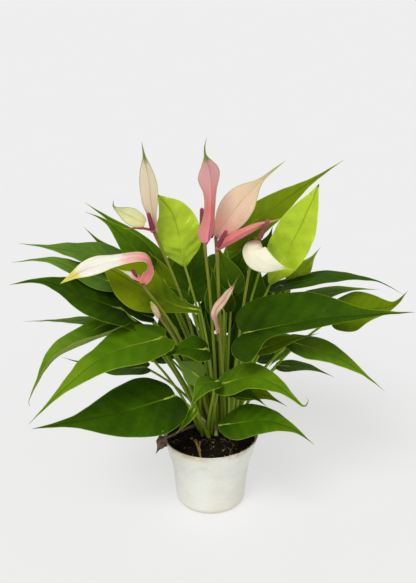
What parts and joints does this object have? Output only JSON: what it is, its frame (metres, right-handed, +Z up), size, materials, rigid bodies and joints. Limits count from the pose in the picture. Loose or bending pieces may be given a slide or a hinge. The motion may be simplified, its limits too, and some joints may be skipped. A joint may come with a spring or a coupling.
{
  "type": "potted anthurium",
  "caption": "Potted anthurium with pointed heart-shaped green leaves and pink to cream spathes on long stalks, in a small round off-white plastic nursery pot.",
  "frame": {"origin": "middle of the pot's underside, on the surface that the pot stands on", "axes": "+Z up along the pot's axis, -Y towards the plant's show side, +X to the right seen from the show side"},
  "size_m": [0.4, 0.262, 0.432],
  "materials": {
    "pot_plastic": "smooth thin off-white plastic with faint stains",
    "potting_soil": "loose dark fibrous potting mix",
    "dried_root": "bare tan root",
    "dried_leaf": "dry brown leaf",
    "young_shoot": "pale green new shoot",
    "leaf_green": "waxy semi-gloss green leaf with paler veins and margin",
    "leaf_lime": "young lime green leaf, semi-gloss",
    "flower_stalk": "smooth olive green flower stalk, reddish at the top",
    "spadix": "fine-grained dark red spadix with a pink tip",
    "spathe_cream": "waxy cream to pale pink spathe with a yellow-green rim and tail",
    "spathe_pink": "waxy pink spathe fading to cream, with a green tail",
    "withered_flower": "dry crumpled pink-tan spathe",
    "flower_bud": "closed pale pink bud on a green stalk",
    "young_flower": "small cream spadix on a green stalk"
  },
  "bodies": {
    "root": {"dead_leaf": "dried_leaf", "flower_bud": "flower_bud", "flower_withered": "withered_flower", "flower_young": "young_flower", "leaf_back_left": "leaf_green", "leaf_back_low": "leaf_green", "leaf_back_low_right": "leaf_green", "leaf_back_middle": "leaf_green", "leaf_back_right": "leaf_green", "leaf_left_back": "leaf_green", "leaf_left_bright": "leaf_green", "leaf_left_dark": "leaf_green", "leaf_left_drooping": "leaf_green", "leaf_left_high": "leaf_green", "leaf_left_low": "leaf_green", "leaf_left_olive": "leaf_green", "leaf_left_second": "leaf_green", "leaf_left_slim": "leaf_green", "leaf_left_under": "leaf_green", "leaf_left_upper": "leaf_green", "leaf_left_wide": "leaf_green", "leaf_lime_left": "leaf_lime", "leaf_lime_right": "leaf_lime", "leaf_middle_dark": "leaf_green", "leaf_middle_front": "leaf_green", "leaf_middle_upright": "leaf_green", "leaf_right_behind": "leaf_green", "leaf_right_front": "leaf_green", "leaf_right_hooked": "leaf_green", "leaf_right_low": "leaf_green", "leaf_right_sloping": "leaf_green", "leaf_right_small": "leaf_green", "leaf_right_top": "leaf_green", "leaf_right_under": "leaf_green", "leaf_right_upcurled": "leaf_green", "leaf_right_upper": "leaf_green", "leaf_upright_dark": "leaf_green", "pot": "pot_plastic", "soil": "potting_soil", "spadix_cream_left": "spadix", "spadix_hanging_white": "spadix", "spadix_nodding_left": "spadix", "spadix_open_pink": "spadix", "spadix_pale_middle": "spadix", "spadix_tall_pink": "spadix", "spathe_cream_left": "spathe_cream", "spathe_cream_small": "spathe_cream", "spathe_hanging_white": "spathe_cream", "spathe_nodding_left": "spathe_pink", "spathe_open_pink": "spathe_pink", "spathe_pale_middle": "spathe_cream", "spathe_tall_pink": "spathe_pink", "stalk_cream_left": "flower_stalk", "stalk_hanging_white": "flower_stalk", "stalk_nodding_left": "flower_stalk", "stalk_open_pink": "flower_stalk", "stalk_pale_middle": "flower_stalk", "stalk_tall_pink": "flower_stalk", "surface_root": "dried_root", "young_shoot": "young_shoot"}
  },
  "joints": []
}
